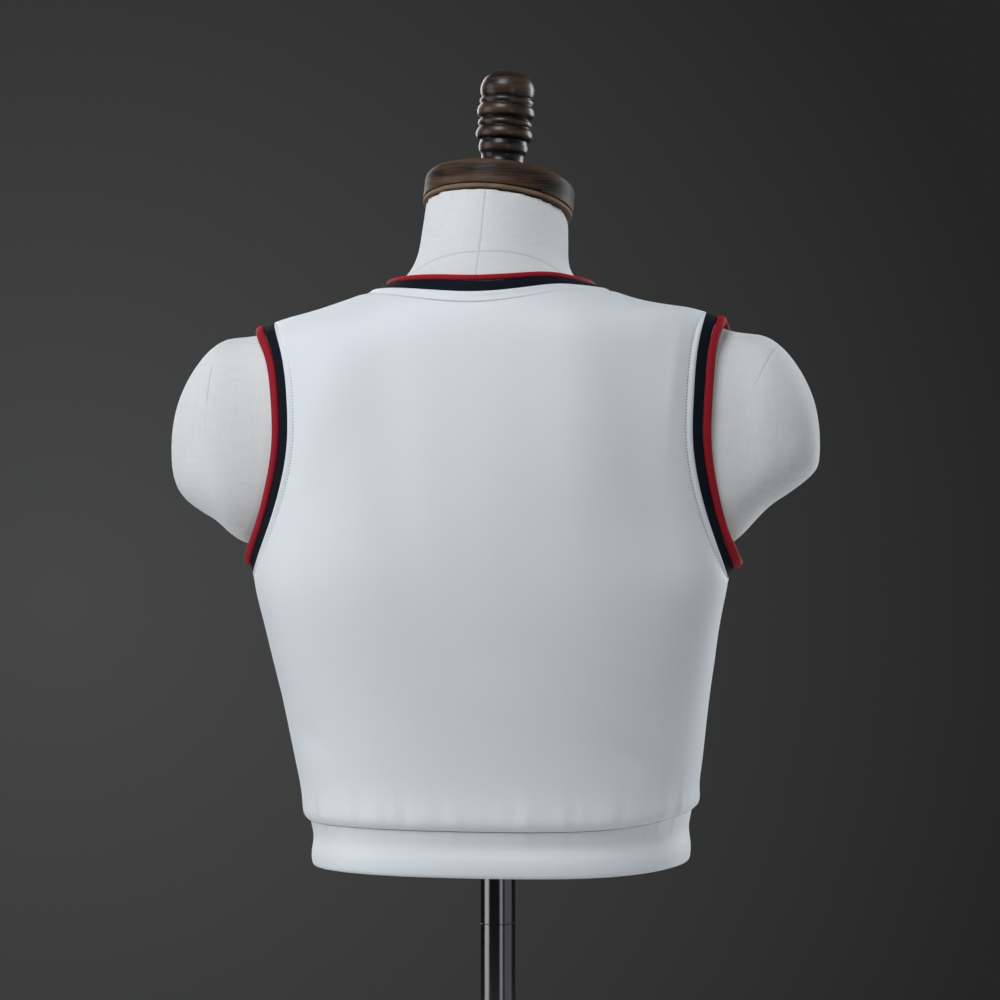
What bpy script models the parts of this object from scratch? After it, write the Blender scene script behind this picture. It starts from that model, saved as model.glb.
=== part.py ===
"""Cropped football tank top on a limbless dress form, with the form's table stand.

Sizes are in millimetres and turned into metres as each mesh is made. +Z is up, the
garment's front faces -Y and its back +Y, and the origin is on the floor under the pole.

One figure carries everything soft. It is a stack of rings, from the hem to the top of the
neck, and skin() gives its surface: phi runs round a ring, 0 at +X and a quarter turn at
the back, and row runs up the stack. The garment's panels, bands and edges lie on that
surface, and the linen-covered form is the same surface, moved inwards.
"""

import math

import bmesh
import bpy
import numpy as np
from mathutils import Matrix, Vector

MM = 0.001
GAP = 0.3  # between pieces that meet

# Cloth
KNIT_WALL = 1.4
HEM_WALL = 2.6  # the hem band is the same knit, doubled
RIB_WALL = 1.5
NAVY_WIDTH = 9.8
RED_WIDTH = 5.4
RED_HEIGHT = 2.8
NECK_BAND_FLARE = 1 / 110.0  # how the neck's rib bends outwards across its width
ARM_BAND_FLARE = {"left": 1 / 24.0, "right": 1 / 13.0}  # the same at an armhole's bottom
ARM_FLARE_ROWS = 0.55  # the rows over which it flattens out
SHOULDER_LEAN = 0.014  # the shoulders' slope to the wearer's left
SHOULDER_LEAN_ROWS = 1.5
TWIST = math.radians(4.0)  # the garment sits turned a little on the form
PUFF_HEIGHT = 3.4  # the body blouses out just above the hem seam
PUFF_REACH = 5.0
SEAM_ROW_RISE = 30.0  # from the hem seam's ring to the next ring
HEM_RIDE_UP = 9.0  # the hem seam rides up on the wearer's right
HEM_RIDE_ROWS = 1.2
BACK_ARM_CUT = 0.25  # how far the armholes are cut in, as a share of the half width
FRONT_ARM_CUT = 0.30
ARM_CUT_SKEW = 1.15
FRONT_SCOOP = 4.1  # rows by which the neckline drops at centre front
SCOOP_FROM_ROW = 3.0  # where the front's rows begin to be drawn down to it

# Form
FORM_EASE = 2.25  # between the cloth's inside and the form
FORM_UNDERSIDE = 5.0  # the form ends this far above the hem's lower edge
SKIN_CLEARANCE = KNIT_WALL + FORM_EASE

# Rings of the figure at the cloth's outer face. half_width and side_z are the ring's
# farthest point to the side, at side_y; back and front are its points at the middle.
# roundness is the power of the outline in plan, dip the power at which the ring's
# height goes from the side to the middle, and side_ease what the form gives up at
# the side, where the garment stands away from it.
RING_COLUMNS = (
    "half_width", "side_y", "side_z", "back_y", "back_z", "front_y", "front_z",
    "roundness", "dip", "side_ease",
)
RINGS = np.array((
    (138.6, -12, 261.0, 87.0, 261.0, -110, 261.0, 2.30, 2.0, 0.0),   # 0 hem
    (140.0, -12, 295.0, 88.0, 295.0, -112, 295.0, 2.30, 2.0, 0.0),   # 1 hem seam
    (147.0, -5, 325.0, 91.5, 325.0, -112, 325.0, 2.30, 2.0, 0.5),
    (151.5, 5, 355.0, 97.0, 355.0, -110, 355.0, 2.30, 2.0, 1.0),
    (155.5, 14, 384.0, 103.5, 384.0, -108, 384.0, 2.30, 2.0, 2.0),
    (160.5, 24, 412.0, 110.0, 412.0, -108, 412.0, 2.30, 2.0, 3.5),
    (165.5, 34, 441.0, 117.0, 441.0, -108, 441.0, 2.25, 2.0, 6.0),
    (172.5, 38, 472.0, 123.0, 474.0, -107, 472.0, 2.20, 2.0, 10.0),  # 7 armhole bottom
    (178.0, 25, 515.0, 126.5, 511.0, -104, 508.0, 2.10, 2.0, 12.0),
    (188.0, 16, 565.0, 127.0, 547.0, -98, 544.0, 2.05, 2.0, 6.0),
    (194.0, 16, 611.0, 125.0, 584.0, -89, 576.0, 2.00, 2.0, 1.0),    # 10 mid shoulder
    (179.0, 26, 647.0, 121.5, 615.0, -78, 602.0, 2.00, 2.0, 0.0),
    (157.0, 38, 661.0, 118.0, 640.0, -66, 621.0, 2.00, 2.0, 0.0),    # 12 shoulder tip
    (132.0, 37, 666.0, 114.5, 655.5, -58, 634.0, 2.00, 2.0, 0.0),
    (107.0, 35, 672.0, 111.0, 666.5, -50, 643.0, 2.00, 2.4, 0.0),
    (83.0, 33, 680.5, 106.5, 676.0, -44, 651.0, 2.00, 3.0, 0.0),     # 15 neckline
    (65.0, 33, 690.5, 97.5, 690.5, -39, 659.0, 2.00, 2.0, 0.0),
    (58.5, 20, 703.5, 86.0, 705.0, -38, 672.0, 2.00, 1.5, 0.0),
    (57.0, 12, 719.0, 71.5, 727.0, -43, 697.0, 2.00, 1.1, 0.0),
    (55.5, 3, 739.6, 58.5, 754.0, -52.5, 725.2, 2.00, 1.0, 0.0),     # 19 neck top
))
SEAM_ROW, ARM_LOW_ROW, ARM_TOP_ROW, NECKLINE_ROW = 1.0, 7.0, 12.0, 15.0
NECK_TOP_ROW = len(RINGS) - 1.0

# Shoulder caps of the form, as upright sections at x, from inside the trunk outwards.
# lower_power flattens a section's lower half: the caps are cut off on a slant below.
# turned is how much of the garment's twist a section follows, clear of the armhole.
# right_lift raises the lower side on the wearer's right.
CAP_COLUMNS = (
    "x", "top_z", "bottom_z", "front_y", "back_y", "lower_power", "turned", "right_lift",
)
SHOULDER_CAP = np.array((
    (120.0, 635.0, 516.0, -14, 70, 2.2, 1.0, 0),
    (140.0, 644.0, 506.0, -20, 75, 2.2, 1.0, 0),
    (157.0, 649.0, 497.0, -23, 73, 2.2, 1.0, 0),
    (172.0, 649.8, 493.0, -24, 73, 2.3, 1.0, 0),
    (180.0, 649.6, 491.5, -25, 73, 2.6, 0.9, 10),
    (187.0, 649.4, 494.5, -26, 73, 3.0, 0.7, 16),
    (199.5, 646.0, 510.0, -27, 72, 3.2, 0.4, 14),
    (213.0, 635.5, 519.5, -22, 66, 3.2, 0.1, 13.5),
    (225.0, 618.5, 527.5, -13, 58, 3.0, 0.0, 14),
    (233.0, 600.0, 536.5, -2, 48, 2.6, 0.0, 12),
    (236.6, 581.0, 547.0, 10, 38, 2.2, 0.0, 7),
))
CAP_UPPER_POWER = 2.2
CAP_TURN = 6.0  # how far the twist carries a fully turned section, back or forth

# Neck cap, knob and stand
CAP_TILT = math.radians(14.5)  # forwards
CAP_LEAN = math.radians(3.6)  # to the wearer's right
NECK_LEAN_ROWS = (16.0, 19.0)  # over which the neck's cut takes on that lean
NECK_TOP = (0.0, 3.0, 739.6)  # middle of the sloping cut at the top of the neck
STRIP_RADIUS = 54.6
STRIP_HEIGHT = 2.8
CAP_RADIUS = 55.0
CAP_HEIGHT = 19.6
CAP_CROWN = 3.4  # the cap rises a little to its middle
BASE_RADIUS = 160.0
BASE_HEIGHT = 12.0
POLE_RADIUS = 12.7
POLE_JOINT_Z = 219.6
FLANGE_RADIUS = 36.0
FLANGE_HEIGHT = 3.5
HEM_Z = RINGS[0, 2]
FORM_BOTTOM_Z = HEM_Z + FORM_UNDERSIDE
KNOB_TILT = math.radians(4.0)  # forwards: the knob stands straighter than the cap
KNOB_FOOT = 15.5  # height over which its foot is sheared down to the cap's slope
# The knob's outline above the cap: height along its axis, and radius.
KNOB_PROFILE = (
    (0.0, 20.5), (2.5, 20.8), (8.0, 16.6), (15.5, 15.6), (19.0, 17.6), (25.6, 17.4),
    (28.2, 19.8), (30.9, 20.9), (34.2, 20.2), (36.4, 18.9), (39.1, 19.9), (42.3, 18.3),
    (45.5, 20.6), (48.2, 21.1), (51.0, 20.4), (53.2, 19.3), (55.6, 19.8), (58.3, 18.4),
    (62.5, 19.7), (66.0, 19.8), (70.0, 18.6), (73.5, 16.2), (76.2, 12.0), (77.9, 0.0),
)

# Mesh counts
PANEL_COLUMNS = 21
ARM_ROWS = 24
HEM_POINTS = 60
FORM_POINTS = 52
TURNED_STEPS = 32

COLOURS = {
    "white_knit": ((0.80, 0.82, 0.84, 1), 0.55, 0.0),
    "navy_rib": ((0.008, 0.010, 0.022, 1), 0.75, 0.0),
    "red_rib": ((0.36, 0.008, 0.018, 1), 0.65, 0.0),
    "linen": ((0.62, 0.60, 0.56, 1), 0.85, 0.0),
    "dark_wood": ((0.040, 0.018, 0.010, 1), 0.30, 0.0),
    "tan_wood": ((0.42, 0.22, 0.10, 1), 0.55, 0.0),
    "chrome": ((0.62, 0.63, 0.65, 1), 0.12, 1.0),
    "painted_steel": ((0.05, 0.05, 0.055, 1), 0.45, 0.0),
}


def clear_scene():
    for old in list(bpy.data.objects):
        bpy.data.objects.remove(old, do_unlink=True)


def make_collection(name, hidden=False):
    found = bpy.data.collections.new(name)
    bpy.context.scene.collection.children.link(found)
    found.hide_render = hidden
    return found


def make_materials():
    made = {}
    for name, (colour, roughness, metallic) in COLOURS.items():
        material = bpy.data.materials.new(name)
        material.use_nodes = True
        shader = material.node_tree.nodes["Principled BSDF"]
        shader.inputs["Base Color"].default_value = colour
        shader.inputs["Roughness"].default_value = roughness
        shader.inputs["Metallic"].default_value = metallic
        material.diffuse_color = colour
        made[name] = material
    return made


def rings_at(row):
    """The ring table at any row, by a smooth cubic through its rows."""
    last = len(RINGS) - 1
    row = np.clip(np.asarray(row, float), 0.0, last)
    low = np.minimum(row.astype(int), last - 1)
    t = (row - low)[..., None]
    before = RINGS[np.maximum(low - 1, 0)]
    start, end = RINGS[low], RINGS[low + 1]
    after = RINGS[np.minimum(low + 2, last)]
    rise, fall = (end - before) / 2, (after - start) / 2
    values = (
        start
        + t * rise
        + t**2 * (3 * (end - start) - 2 * rise - fall)
        + t**3 * (rise + fall - 2 * (end - start))
    )
    return dict(zip(RING_COLUMNS, np.moveaxis(values, -1, 0)))


def signed_power(value, power):
    return np.sign(value) * np.abs(value) ** power


def ring_point(phi, row):
    """A point of the figure: a rounded outline in plan whose back and front halves have
    their own depth, and whose height goes from the side to the middle of each."""
    ring = rings_at(row)
    cos, sin = np.cos(phi), np.sin(phi)
    power = 2.0 / ring["roundness"]
    back = sin >= 0
    middle_y = np.where(back, ring["back_y"], ring["front_y"])
    middle_z = np.where(back, ring["back_z"], ring["front_z"])
    across = np.abs(sin) ** power
    x = ring["half_width"] * signed_power(cos, power)
    y = ring["side_y"] + (middle_y - ring["side_y"]) * across
    z = ring["side_z"] + (middle_z - ring["side_z"]) * np.abs(sin) ** ring["dip"]
    start, end = NECK_LEAN_ROWS
    z = z + x * math.tan(CAP_LEAN) * np.clip((row - start) / (end - start), 0.0, 1.0)
    near_tip = np.exp(-(((row - ARM_TOP_ROW) / SHOULDER_LEAN_ROWS) ** 2))
    z = z - x * SHOULDER_LEAN * near_tip
    near_seam = np.exp(-(((row - SEAM_ROW) / HEM_RIDE_ROWS) ** 2))
    z = z + HEM_RIDE_UP * near_seam * np.maximum(-cos, 0.0) ** 4
    return np.stack(np.broadcast_arrays(x, y, z), axis=-1)


def unit(vectors):
    return vectors / np.linalg.norm(vectors, axis=-1, keepdims=True)


def skin_normal(phi, row, step=0.02):
    """The outward direction, from the surface's slopes round the ring and up the stack."""
    low = np.clip(row - step, 0.0, NECK_TOP_ROW)
    high = np.clip(row + step, 0.0, NECK_TOP_ROW)
    round_ring = ring_point(phi + step, row) - ring_point(phi - step, row)
    up_stack = ring_point(phi, high) - ring_point(phi, low)
    return unit(np.cross(round_ring, up_stack))


def skin(phi, row, out=0.0):
    """The figure's surface, moved outwards by out."""
    phi, row, out = np.broadcast_arrays(np.asarray(phi, float), row, out)
    return ring_point(phi, row) + skin_normal(phi, row) * out[..., None]


def puff(row):
    """How far the body stands out above the hem seam: up at once, then dying away."""
    height = np.maximum(row - SEAM_ROW, 0.0) * SEAM_ROW_RISE / PUFF_REACH
    return PUFF_HEIGHT * height * np.exp(1.0 - height)


def arm_angle(row, front):
    """How far round the ring the armhole's edge lies from the side seam."""
    share = np.clip((row - ARM_LOW_ROW) / (ARM_TOP_ROW - ARM_LOW_ROW), 0.0, 1.0)
    cut = FRONT_ARM_CUT if front else BACK_ARM_CUT
    kept = 1.0 - cut * np.sin(math.pi * share**ARM_CUT_SKEW)
    return np.arccos(np.clip(kept, -1.0, 1.0) ** (rings_at(row)["roundness"] / 2))


def scoop_drop(phi, row):
    """How many rows the front is drawn down towards its round scoop: none at the sides
    and the back, and all of it at the neckline's middle."""
    turned = phi - TWIST
    share = np.clip((row - SCOOP_FROM_ROW) / (NECKLINE_ROW - SCOOP_FROM_ROW), 0.0, 1.0)
    drawn = FRONT_SCOOP * share**2 * (3 - 2 * share)
    return np.where(np.sin(turned) < 0, drawn * np.sin(turned) ** 2, 0.0)


def armhole_rows():
    """Rows up an armhole, close at both ends, where its edge turns quickly."""
    turns = (1 - np.cos(np.linspace(0, math.pi, ARM_ROWS + 1))) / 2
    return ARM_LOW_ROW + (ARM_TOP_ROW - ARM_LOW_ROW) * turns


def panel_rows():
    """Rows of a panel at its side, close above the hem seam, where the body puffs out."""
    puffed = SEAM_ROW + np.array((0.3, 2.0, 4.5, 8.0, 14.0, 24.0)) / SEAM_ROW_RISE
    body = np.linspace(2.5, ARM_LOW_ROW, 7)[:-1]
    shoulder = np.linspace(ARM_TOP_ROW, NECKLINE_ROW, 5)[1:]
    return np.concatenate((puffed, body, armhole_rows(), shoulder))


def panel_grid(front):
    """phi and row at each point of a panel, side to side by hem to neck."""
    rows = panel_rows()
    start = TWIST + (math.pi if front else 0.0)
    side = skin(start, rows)
    beside = skin(start + 0.01, rows)
    seam_gap = GAP / 2 * 0.01 / np.linalg.norm(beside - side, axis=-1)
    edge = np.maximum(arm_angle(rows, front), seam_gap)
    share = np.linspace(0.0, 1.0, PANEL_COLUMNS)[None, :]
    phi = start + edge[:, None] + (math.pi - 2 * edge[:, None]) * share
    return phi, rows[:, None] - scoop_drop(phi, rows[:, None])


def new_object(name, mesh, material, collection):
    made = bpy.data.objects.new(name, mesh)
    mesh.materials.append(material)
    collection.objects.link(made)
    return made


def mesh_of(name, points, faces):
    """A mesh in metres, its faces turned outwards and shaded smooth."""
    mesh = bpy.data.meshes.new(name)
    mesh.from_pydata((np.asarray(points) * MM).tolist(), [], faces)
    built = bmesh.new()
    built.from_mesh(mesh)
    bmesh.ops.recalc_face_normals(built, faces=built.faces)
    built.to_mesh(mesh)
    built.free()
    mesh.shade_smooth()
    mesh.set_sharp_from_angle(angle=math.radians(40))
    return mesh


def grid_faces(rows, columns, wrap_rows, wrap_columns):
    """Quads between neighbours of a grid whose points are counted row by row."""
    i, j = np.meshgrid(
        np.arange(rows if wrap_rows else rows - 1),
        np.arange(columns if wrap_columns else columns - 1),
        indexing="ij",
    )
    k, m = (i + 1) % rows, (j + 1) % columns
    quads = np.stack((i * columns + j, i * columns + m, k * columns + m, k * columns + j), -1)
    return quads.reshape(-1, 4).tolist()


def split_faces(points, quads):
    """Quads as triangles, each cut along the shorter of its two diagonals."""
    a, b, c, d = (points[quads[:, k]] for k in range(4))
    first = (np.linalg.norm(a - c, axis=1) <= np.linalg.norm(b - d, axis=1))[:, None]
    lower = np.where(first, quads[:, (0, 1, 2)], quads[:, (0, 1, 3)])
    upper = np.where(first, quads[:, (0, 2, 3)], quads[:, (1, 2, 3)])
    return np.concatenate((lower, upper))


def wall_mesh(name, outer, inner):
    """A wall between two grids of the same size, closed round its four edges. Both faces
    are cut into the same triangles, so that they can't pass through each other."""
    rows, columns = outer.shape[:2]
    count = rows * columns
    index = np.arange(count).reshape(rows, columns)
    edge = np.concatenate((index[0, :-1], index[:-1, -1], index[-1, :0:-1], index[:0:-1, 0]))
    following = np.roll(edge, -1)
    quads = np.array(grid_faces(rows, columns, False, False))
    halves = split_faces(outer.reshape(-1, 3), quads)
    faces = np.concatenate((halves, halves[:, ::-1] + count)).tolist()
    faces += np.stack((edge, edge + count, following + count, following), -1).tolist()
    points = np.concatenate((outer.reshape(-1, 3), inner.reshape(-1, 3)))
    return mesh_of(name, points, faces)


def loop_mesh(name, sections):
    """A closed ring of cross-sections, each a closed outline."""
    count, points = sections.shape[:2]
    return mesh_of(name, sections.reshape(-1, 3), grid_faces(count, points, True, True))


def loft_mesh(name, sections):
    """Closed outlines joined one to the next, with a flat cap at each end."""
    count, points = sections.shape[:2]
    faces = grid_faces(count, points, False, True)
    faces.append(list(range(points)))
    faces.append(list(range((count - 1) * points, count * points)))
    return mesh_of(name, sections.reshape(-1, 3), faces)


def armhole_path(side):
    """phi and row round an armhole, at the panels' own points: up the back edge, then
    down the front one."""
    rise = armhole_rows()
    fall = rise[-2:0:-1]
    angle = np.concatenate((arm_angle(rise, False), -arm_angle(fall, True)))
    phi = TWIST + angle if side > 0 else math.pi + TWIST - angle
    rows = np.concatenate((rise, fall))
    return phi, rows - scoop_drop(phi, rows)


def neck_path():
    """phi and row round the neckline, at the panels' own points."""
    phi = TWIST + np.linspace(0.0, 2 * math.pi, 2 * (PANEL_COLUMNS - 1), endpoint=False)
    return phi, NECKLINE_ROW - scoop_drop(phi, NECKLINE_ROW)


def band_sections(phi, rows, outline, flare):
    """Carries an outline along a path on the figure. Its first number runs from the
    panel's cut edge into the opening and its second out from it. The strip bends
    outwards across its width on an arc of curvature flare."""
    along = skin(phi, rows)
    normal = skin_normal(phi, rows)[:, None]
    forward = unit(np.roll(along, -1, axis=0) - np.roll(along, 1, axis=0))
    inward = unit(np.cross(normal[:, 0], forward))
    middle = along.mean(axis=0)
    if np.sum(inward * (middle - along)) < 0:
        inward = -inward
    outline = np.asarray(outline, float)
    across, out = outline[:, 0][None, :], outline[:, 1][None, :]
    bend = across * np.broadcast_to(flare, phi.shape)[:, None]
    into = across * np.sinc(bend / math.pi) - out * np.sin(bend)
    up = across * np.sin(bend / 2) * np.sinc(bend / (2 * math.pi)) + out * np.cos(bend)
    return along[:, None] + inward[:, None] * into[..., None] + normal * up[..., None]


def arm_flare(rows, place):
    """How an armhole's rib stands away under the arm and lies flat above it."""
    return ARM_BAND_FLARE[place] * np.exp(-(((rows - ARM_LOW_ROW) / ARM_FLARE_ROWS) ** 2))


def navy_outline():
    """A flat strip, a hair below the knit's face."""
    start, end, low = GAP, NAVY_WIDTH, -RIB_WALL
    middle = (start + end) / 2
    return ((start, low), (start, -0.1), (middle, 0.1), (end, -0.1), (end, low), (middle, low))


def red_outline(points=6):
    """A rounded edge: an ellipse beside the navy strip."""
    turn = 2 * math.pi * np.arange(points) / points
    middle = NAVY_WIDTH + GAP + RED_WIDTH / 2
    return np.stack(
        (middle + RED_WIDTH / 2 * np.cos(turn), -0.5 + RED_HEIGHT / 2 * np.sin(turn)), -1
    )


def make_garment(parts, materials):
    for name, front in (("back_panel", False), ("front_panel", True)):
        phi, row = panel_grid(front)
        outer = skin(phi, row, puff(row))
        inner = skin(phi, row, puff(row) - KNIT_WALL)
        new_object(name, wall_mesh(name, outer, inner), materials["white_knit"], parts)

    phi = np.linspace(0.0, 2 * math.pi, HEM_POINTS, endpoint=False)[:, None]
    seam = SEAM_ROW - GAP / 34.0
    outline_row = np.array((0.0, 0.025, 0.35, seam, seam, 0.35, 0.0))[None, :]
    outline_out = np.array((-1.0, 0.0, 0.3, -0.2, -HEM_WALL, -HEM_WALL, -HEM_WALL + 0.4))
    hem = skin(phi, outline_row, outline_out[None, :])
    new_object("hem_band", loop_mesh("hem_band", hem), materials["white_knit"], parts)

    left, right = armhole_path(1), armhole_path(-1)
    openings = {
        "neck_{}": (neck_path(), NECK_BAND_FLARE),
        "armhole_{}_left": (left, arm_flare(left[1], "left")),
        "armhole_{}_right": (right, arm_flare(right[1], "right")),
    }
    for naming, ((phi, rows), flare) in openings.items():
        for kind, outline, material in (
            ("band", navy_outline(), "navy_rib"),
            ("edge", red_outline(), "red_rib"),
        ):
            name = naming.format(kind)
            sections = band_sections(phi, rows, outline, flare)
            new_object(name, loop_mesh(name, sections), materials[material], parts)


def cap_sections(side):
    """Upright sections of a shoulder cap: round above, flatter below."""
    turn = np.linspace(0.0, 2 * math.pi, 24, endpoint=False)[None, :]
    sizes = {key: SHOULDER_CAP[:, k, None] for k, key in enumerate(CAP_COLUMNS)}
    low_z = sizes["bottom_z"] + (sizes["right_lift"] if side < 0 else 0.0)
    middle_z = (sizes["top_z"] + low_z) / 2
    tall = (sizes["top_z"] - low_z) / 2
    middle_y = (sizes["front_y"] + sizes["back_y"]) / 2 + side * CAP_TURN * sizes["turned"]
    deep = (sizes["back_y"] - sizes["front_y"]) / 2
    power = np.where(np.sin(turn) >= 0, 2 / CAP_UPPER_POWER, 2 / sizes["lower_power"])
    y = middle_y + deep * signed_power(np.cos(turn), power)
    z = middle_z + tall * signed_power(np.sin(turn), power)
    return np.stack(np.broadcast_arrays(side * sizes["x"], y, z), -1)


def make_form(parts, cutters, materials):
    """The trunk and neck are the figure moved inwards, more so where the garment stands
    away at the sides, and the shoulder caps are joined on."""
    phi = np.linspace(0.0, 2 * math.pi, FORM_POINTS, endpoint=False)[None, :]
    bottom_row = FORM_UNDERSIDE / (RINGS[1, 2] - RINGS[0, 2])
    shoulder = np.arange(ARM_LOW_ROW, NECKLINE_ROW, 0.5)
    neck = np.arange(NECKLINE_ROW, NECK_TOP_ROW + 1)
    rows = np.concatenate((np.linspace(bottom_row, 6.0, 8), shoulder, neck))[:, None]
    away = SKIN_CLEARANCE + rings_at(rows)["side_ease"] * np.cos(phi) ** 4
    sections = skin(phi, rows, -away)
    sections[0, :, 2] = FORM_BOTTOM_Z
    trunk = new_object(
        "form_body", loft_mesh("form_body", sections), materials["linen"], parts
    )
    for side, place in ((1, "left"), (-1, "right")):
        cap_name = f"shoulder_cap_{place}"
        cap = new_object(
            cap_name, loft_mesh(cap_name, cap_sections(side)), materials["linen"], cutters
        )
        cap.hide_render = True
        cap.display_type = "WIRE"
        union = trunk.modifiers.new(cap_name, "BOOLEAN")
        union.operation = "UNION"
        union.object = cap


def turned(name, profile, material, collection, steps=TURNED_STEPS):
    """A turned solid: radius and height down its outer side, spun round Z."""
    mesh = bpy.data.meshes.new(name)
    points = [(radius * MM, 0.0, height * MM) for radius, height in profile]
    edges = [(k, k + 1) for k in range(len(points) - 1)]
    mesh.from_pydata(points, edges, [])
    made = new_object(name, mesh, material, collection)
    spin = made.modifiers.new("turn", "SCREW")
    spin.axis = "Z"
    spin.steps = steps
    spin.render_steps = steps
    spin.use_smooth_shade = True
    spin.use_merge_vertices = True
    spin.merge_threshold = 0.0001
    return made


def make_neck_cap(parts, materials):
    """Strip and cap share one axis, square to the sloping cut of the neck. The knob on
    them stands straighter, its foot sheared down to the cap."""
    strip_end = GAP + STRIP_HEIGHT
    cap_start = strip_end + GAP
    cap_end = cap_start + CAP_HEIGHT
    crown_end = cap_end + CAP_CROWN
    strip = ((0, strip_end), (STRIP_RADIUS, strip_end), (STRIP_RADIUS, GAP), (0, GAP))
    cap = (
        (0, crown_end), (KNOB_PROFILE[0][1], crown_end), (CAP_RADIUS - 4.0, cap_end),
        (CAP_RADIUS - 1.2, cap_end - 1.6), (CAP_RADIUS, cap_end - 4.6),
        (CAP_RADIUS, cap_start + 1.0), (CAP_RADIUS - 1.0, cap_start), (0, cap_start),
    )
    for name, profile, material in (
        ("cap_strip", strip, "tan_wood"), ("neck_cap", cap, "dark_wood"),
    ):
        made = turned(name, profile, materials[material], parts)
        made.location = [value * MM for value in NECK_TOP]
        made.rotation_euler = (CAP_TILT, -CAP_LEAN, 0.0)
    middle = Matrix.Rotation(-CAP_LEAN, 3, "Y") @ Matrix.Rotation(CAP_TILT, 3, "X")
    foot = Vector(NECK_TOP) + middle @ Vector((0.0, 0.0, crown_end + GAP))
    made = new_object("finial", make_knob(), materials["dark_wood"], parts)
    made.location = foot * MM
    made.rotation_euler = (KNOB_TILT, -CAP_LEAN, 0.0)


def make_knob():
    """The knob as rings of points up its profile. Towards the foot each ring is sheared
    along the axis, until the lowest one lies along the cap's slope."""
    height, radius = np.array(KNOB_PROFILE[:-1]).T[:, :, None]
    turn = np.linspace(0.0, 2 * math.pi, TURNED_STEPS, endpoint=False)[None, :]
    y = radius * np.sin(turn)
    sheared = np.clip(1.0 - height / KNOB_FOOT, 0.0, 1.0)
    z = height + y * math.tan(CAP_TILT - KNOB_TILT) * sheared
    sections = np.stack(np.broadcast_arrays(radius * np.cos(turn), y, z), -1)
    count, points = sections.shape[:2]
    faces = grid_faces(count, points, False, True)
    faces.append(list(range(points)))
    top, last = count * points, (count - 1) * points + np.arange(points)
    faces += np.stack((last, np.roll(last, -1), np.full(points, top)), -1).tolist()
    tip = (0.0, 0.0, KNOB_PROFILE[-1][0])
    return mesh_of("finial", np.concatenate((sections.reshape(-1, 3), [tip])), faces)


def make_stand(parts, materials):
    flange_top = FORM_BOTTOM_Z - GAP
    flange_low = flange_top - FLANGE_HEIGHT
    bevel = 1.5
    base = (
        (0, BASE_HEIGHT), (BASE_RADIUS - bevel, BASE_HEIGHT),
        (BASE_RADIUS, BASE_HEIGHT - bevel), (BASE_RADIUS, 0), (0, 0),
    )
    tube = {
        "pole_lower": (BASE_HEIGHT + GAP, POLE_JOINT_Z - GAP / 2),
        "pole_upper": (POLE_JOINT_Z + GAP / 2, flange_low - GAP),
    }
    flange = ((0, flange_top), (FLANGE_RADIUS, flange_top), (FLANGE_RADIUS, flange_low),
              (0, flange_low))
    turned("base_plate", base, materials["painted_steel"], parts, steps=64)
    turned("mount_flange", flange, materials["chrome"], parts, steps=24)
    for name, (low, high) in tube.items():
        profile = ((0, high), (POLE_RADIUS, high), (POLE_RADIUS, low), (0, low))
        turned(name, profile, materials["chrome"], parts, steps=24)


def main():
    clear_scene()
    materials = make_materials()
    parts = make_collection("cropped_tank_on_form")
    cutters = make_collection("joined_shapes", hidden=True)
    make_garment(parts, materials)
    make_form(parts, cutters, materials)
    make_neck_cap(parts, materials)
    make_stand(parts, materials)


main()
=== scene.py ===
"""Looks of the cropped football tank top on its limbless dress form.

Every soft piece lies on one figure, a stack of rings from the hem to the top of the
neck. Sizes are in millimetres until a mesh is made, in metres. +Z is up, the garment's
front faces -Y and its back +Y.
"""

import math

import bmesh
import bpy
import numpy as np
from mathutils import Matrix, Vector

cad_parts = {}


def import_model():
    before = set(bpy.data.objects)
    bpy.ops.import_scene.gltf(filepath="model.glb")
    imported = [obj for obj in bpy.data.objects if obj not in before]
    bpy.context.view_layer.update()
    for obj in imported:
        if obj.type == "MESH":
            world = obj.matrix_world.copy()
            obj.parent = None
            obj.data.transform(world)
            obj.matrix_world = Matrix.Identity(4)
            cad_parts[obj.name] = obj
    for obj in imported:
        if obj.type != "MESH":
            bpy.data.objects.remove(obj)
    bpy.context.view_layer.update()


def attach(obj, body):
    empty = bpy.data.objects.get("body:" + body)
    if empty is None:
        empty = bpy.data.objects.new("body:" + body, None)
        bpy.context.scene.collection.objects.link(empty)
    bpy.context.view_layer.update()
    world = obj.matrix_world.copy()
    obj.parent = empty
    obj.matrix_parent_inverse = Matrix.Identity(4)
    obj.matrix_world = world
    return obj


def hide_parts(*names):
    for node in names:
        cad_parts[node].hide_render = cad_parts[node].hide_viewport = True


MM = 0.001
GAP = 0.3  # between pieces that meet

# Cloth
KNIT_WALL, HEM_WALL, RIB_WALL = 1.4, 2.6, 1.5
NAVY_WIDTH, NECK_RED_WIDTH, ARM_RED_WIDTH, RED_HEIGHT = 8.7, 4.4, 6.5, 4.2
NECK_BAND_FLARE = 1 / 110.0  # how the neck's rib bends outwards across its width
LEFT_BAND_FLARE, RIGHT_BAND_FLARE, ARM_FLARE_ROWS = 1 / 24.0, 1 / 13.0, 0.55
TWIST = math.radians(4.0)  # the garment sits turned a little on the form
PUFF_HEIGHT = 3.6  # the body blouses out just above the hem seam
PUFF_REACH = 7.0
PUFFED_ROWS = 1.2  # over which a panel's rows are close
PUCKERS = ((17, 2.0), (29, 0.7), (43, 0.0), (66, 4.0))  # waves round, and their start
PUCKER_SHARE = 0.32
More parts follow.
